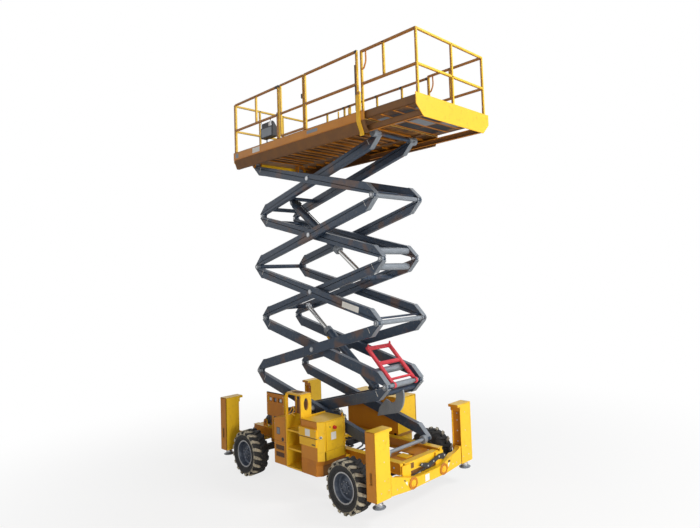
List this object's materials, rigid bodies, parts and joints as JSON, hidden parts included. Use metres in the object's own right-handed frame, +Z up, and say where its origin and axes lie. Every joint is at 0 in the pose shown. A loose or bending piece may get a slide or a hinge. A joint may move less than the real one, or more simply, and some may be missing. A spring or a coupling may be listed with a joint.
{
  "type": "scissor lift",
  "caption": "Rough-terrain scissor lift with a wheeled chassis, corner outriggers, a five-stage scissor stack, lift cylinders and a railed platform with a roll-out deck.",
  "frame": {"origin": "on the ground under the middle of the whole outline, platform extension rolled out", "axes": "+X towards the end where the platform rolls out, +Y to the left side, +Z up"},
  "size_m": [5.3, 2.32, 7.285],
  "materials": {
    "yellow_paint": "semi-gloss",
    "slate_paint": "semi-gloss",
    "red_paint": "semi-gloss",
    "tyre": "matt, dusty",
    "rim_paint": "semi-gloss",
    "cast_iron": "matt",
    "bright_steel": "satin",
    "chrome": "polished",
    "dark_plastic": "matt"
  },
  "bodies": {
    "chassis": {"chassis_frame": "yellow_paint", "rear_axle": "cast_iron", "front_axle": "cast_iron", "front_outrigger_beam": "yellow_paint", "rear_outrigger_beam": "yellow_paint", "front_left_outrigger_column": "yellow_paint", "front_right_outrigger_column": "yellow_paint", "rear_left_outrigger_column": "yellow_paint", "rear_right_outrigger_column": "yellow_paint", "right_front_cabinet": "yellow_paint", "right_rear_cabinet": "yellow_paint", "entry_ladder": "yellow_paint", "ground_control_box": "yellow_paint", "service_panel": "yellow_paint", "engine_bay": "yellow_paint", "engine_block": "cast_iron", "rear_hoses": "dark_plastic", "front_hoses": "dark_plastic"},
    "front_left_steer": {"front_left_knuckle": "cast_iron"},
    "front_right_steer": {"front_right_knuckle": "cast_iron"},
    "cabinet_door": {"right_cabinet_door": "yellow_paint"},
    "engine_cover": {"engine_hood": "yellow_paint"},
    "platform": {"platform_deck": "yellow_paint", "rear_right_rail": "yellow_paint", "front_right_rail": "yellow_paint", "left_rail": "yellow_paint", "rear_rail": "yellow_paint", "platform_control_box": "dark_plastic", "platform_control_lead": "dark_plastic"},
    "gate": {"entry_gate": "yellow_paint"},
    "extension": {"extension_deck": "yellow_paint", "extension_rails": "yellow_paint"},
    "prop": {"safety_prop": "red_paint"},
    "front_left_wheel": {"front_left_tyre": "tyre", "front_left_rim": "rim_paint"},
    "front_right_wheel": {"front_right_tyre": "tyre", "front_right_rim": "rim_paint"},
    "rear_left_wheel": {"rear_left_tyre": "tyre", "rear_left_rim": "rim_paint"},
    "rear_right_wheel": {"rear_right_tyre": "tyre", "rear_right_rim": "rim_paint"},
    "front_left_outrigger": {"front_left_outrigger_leg": "bright_steel"},
    "front_right_outrigger": {"front_right_outrigger_leg": "bright_steel"},
    "rear_left_outrigger": {"rear_left_outrigger_leg": "bright_steel"},
    "rear_right_outrigger": {"rear_right_outrigger_leg": "bright_steel"},
    "inner_arms_1": {"inner_arms_1": "slate_paint"},
    "outer_arms_1": {"outer_arms_1": "slate_paint"},
    "inner_arms_2": {"inner_arms_2": "slate_paint"},
    "outer_arms_2": {"outer_arms_2": "slate_paint"},
    "inner_arms_3": {"inner_arms_3": "slate_paint"},
    "outer_arms_3": {"outer_arms_3": "slate_paint"},
    "inner_arms_4": {"inner_arms_4": "slate_paint"},
    "outer_arms_4": {"outer_arms_4": "slate_paint"},
    "inner_arms_5": {"inner_arms_5": "slate_paint"},
    "outer_arms_5": {"outer_arms_5": "slate_paint"},
    "lower_barrel": {"lower_cylinder_barrel": "slate_paint"},
    "lower_rod": {"lower_cylinder_rod": "chrome"},
    "upper_barrel": {"upper_cylinder_barrel": "slate_paint"},
    "upper_rod": {"upper_cylinder_rod": "chrome"}
  },
  "joints": [
    {"name": "front_left_steering", "type": "hinge", "parent": "chassis", "child": "front_left_steer", "pos_m": [1.02, 0.73, 0.42], "axis": [0, 0, 1], "range_deg": [-28, 28]},
    {"name": "front_left_wheel_spin", "type": "hinge", "parent": "front_left_steer", "child": "front_left_wheel", "pos_m": [1.02, 0.988, 0.42], "axis": [0, 1, 0], "continuous": true},
    {"name": "front_right_steering", "type": "hinge", "parent": "chassis", "child": "front_right_steer", "pos_m": [1.02, -0.73, 0.42], "axis": [0, 0, 1], "range_deg": [-28, 28]},
    {"name": "front_right_wheel_spin", "type": "hinge", "parent": "front_right_steer", "child": "front_right_wheel", "pos_m": [1.02, -0.988, 0.42], "axis": [0, 1, 0], "continuous": true},
    {"name": "rear_left_wheel_spin", "type": "hinge", "parent": "chassis", "child": "rear_left_wheel", "pos_m": [-1.84, 0.988, 0.42], "axis": [0, 1, 0], "continuous": true},
    {"name": "rear_right_wheel_spin", "type": "hinge", "parent": "chassis", "child": "rear_right_wheel", "pos_m": [-1.84, -0.988, 0.42], "axis": [0, 1, 0], "continuous": true},
    {"name": "front_left_outrigger_jack", "type": "slide", "parent": "chassis", "child": "front_left_outrigger", "axis": [0, 0, -1], "range_m": [0, 0.4]},
    {"name": "front_right_outrigger_jack", "type": "slide", "parent": "chassis", "child": "front_right_outrigger", "axis": [0, 0, -1], "range_m": [0, 0.4]},
    {"name": "rear_left_outrigger_jack", "type": "slide", "parent": "chassis", "child": "rear_left_outrigger", "axis": [0, 0, -1], "range_m": [0, 0.4]},
    {"name": "rear_right_outrigger_jack", "type": "slide", "parent": "chassis", "child": "rear_right_outrigger", "axis": [0, 0, -1], "range_m": [0, 0.4]},
    {"name": "cabinet_door_hinge", "type": "hinge", "parent": "chassis", "child": "cabinet_door", "pos_m": [0.498, -0.63, 1.08], "axis": [0, 0, 1], "range_deg": [0, 90]},
    {"name": "engine_cover_hinge", "type": "hinge", "parent": "chassis", "child": "engine_cover", "pos_m": [-0.145, 0.628, 1.392], "axis": [1, 0, 0], "range_deg": [0, 45]},
    {"name": "lift", "type": "hinge", "parent": "chassis", "child": "inner_arms_1", "pos_m": [-2.13509, 0, 0.822], "axis": [0, -1, 0], "range_deg": [-13.5, 25.2]},
    {"name": "inner_fold_2", "type": "hinge", "parent": "inner_arms_1", "child": "inner_arms_2", "pos_m": [1.31509, 0, 1.86367], "axis": [0, -1, 0], "range_deg": [-50.4, 27]},
    {"name": "inner_fold_3", "type": "hinge", "parent": "inner_arms_2", "child": "inner_arms_3", "pos_m": [-2.13509, 0, 2.90534], "axis": [0, -1, 0], "range_deg": [-27, 50.4]},
    {"name": "inner_fold_4", "type": "hinge", "parent": "inner_arms_3", "child": "inner_arms_4", "pos_m": [1.31509, 0, 3.94701], "axis": [0, -1, 0], "range_deg": [-50.4, 27]},
    {"name": "inner_fold_5", "type": "hinge", "parent": "inner_arms_4", "child": "inner_arms_5", "pos_m": [-2.13509, 0, 4.98868], "axis": [0, -1, 0], "range_deg": [-27, 50.4]},
    {"name": "cross_fold_1", "type": "hinge", "parent": "inner_arms_1", "child": "outer_arms_1", "pos_m": [-0.41, 0, 1.34284], "axis": [0, -1, 0], "range_deg": [-50.4, 27]},
    {"name": "cross_fold_2", "type": "hinge", "parent": "inner_arms_2", "child": "outer_arms_2", "pos_m": [-0.41, 0, 2.38451], "axis": [0, -1, 0], "range_deg": [-27, 50.4]},
    {"name": "cross_fold_3", "type": "hinge", "parent": "inner_arms_3", "child": "outer_arms_3", "pos_m": [-0.41, 0, 3.42618], "axis": [0, -1, 0], "range_deg": [-50.4, 27]},
    {"name": "cross_fold_4", "type": "hinge", "parent": "inner_arms_4", "child": "outer_arms_4", "pos_m": [-0.41, 0, 4.46785], "axis": [0, -1, 0], "range_deg": [-27, 50.4]},
    {"name": "cross_fold_5", "type": "hinge", "parent": "inner_arms_5", "child": "outer_arms_5", "pos_m": [-0.41, 0, 5.50952], "axis": [0, -1, 0], "range_deg": [-50.4, 27]},
    {"name": "platform_level", "type": "hinge", "parent": "outer_arms_5", "child": "platform", "pos_m": [-2.13509, 0, 6.03035], "axis": [0, -1, 0], "range_deg": [-13.5, 25.2]},
    {"name": "lower_barrel_swing", "type": "hinge", "parent": "inner_arms_1", "child": "lower_barrel", "pos_m": [0.53583, 0.15, 1.6284], "axis": [0, -1, 0], "range_deg": [-59.88, 32.08]},
    {"name": "lower_rod_slide", "type": "slide", "parent": "lower_barrel", "child": "lower_rod", "axis": [-0.8011, 0, 0.5985], "range_m": [-0.5535, 1.0332]},
    {"name": "upper_barrel_swing", "type": "hinge", "parent": "inner_arms_5", "child": "upper_barrel", "pos_m": [-1.45013, -0.15, 5.19548], "axis": [0, -1, 0], "range_deg": [-59.88, 32.08]},
    {"name": "upper_rod_slide", "type": "slide", "parent": "upper_barrel", "child": "upper_rod", "axis": [0.8011, 0, -0.5985], "range_m": [-0.5535, 1.0332]},
    {"name": "safety_prop_hinge", "type": "hinge", "parent": "inner_arms_2", "child": "prop", "pos_m": [1.31509, 0, 1.86367], "axis": [0, -1, 0], "range_deg": [-130, 0]},
    {"name": "gate_hinge", "type": "hinge", "parent": "platform", "child": "gate", "pos_m": [-0.725, -0.878, 6.75], "axis": [0, 0, 1], "range_deg": [0, 90]},
    {"name": "extension_slide", "type": "slide", "parent": "platform", "child": "extension", "axis": [1, 0, 0], "range_m": [-1.05, 0]}
  ],
  "couplings": [
    {"joint": "front_right_steering", "follows": "front_left_steering", "ratio": 1},
    {"joint": "inner_fold_2", "follows": "lift", "ratio": -2},
    {"joint": "inner_fold_3", "follows": "lift", "ratio": 2},
    {"joint": "inner_fold_4", "follows": "lift", "ratio": -2},
    {"joint": "inner_fold_5", "follows": "lift", "ratio": 2},
    {"joint": "cross_fold_1", "follows": "lift", "ratio": -2},
    {"joint": "cross_fold_2", "follows": "lift", "ratio": 2},
    {"joint": "cross_fold_3", "follows": "lift", "ratio": -2},
    {"joint": "cross_fold_4", "follows": "lift", "ratio": 2},
    {"joint": "cross_fold_5", "follows": "lift", "ratio": -2},
    {"joint": "platform_level", "follows": "lift", "ratio": 1},
    {"joint": "lower_barrel_swing", "follows": "lift", "ratio": -2.376},
    {"joint": "lower_rod_slide", "follows": "lift", "m_per_rad": 2.3491},
    {"joint": "upper_barrel_swing", "follows": "lift", "ratio": -2.376},
    {"joint": "upper_rod_slide", "follows": "lift", "m_per_rad": 2.3491}
  ]
}
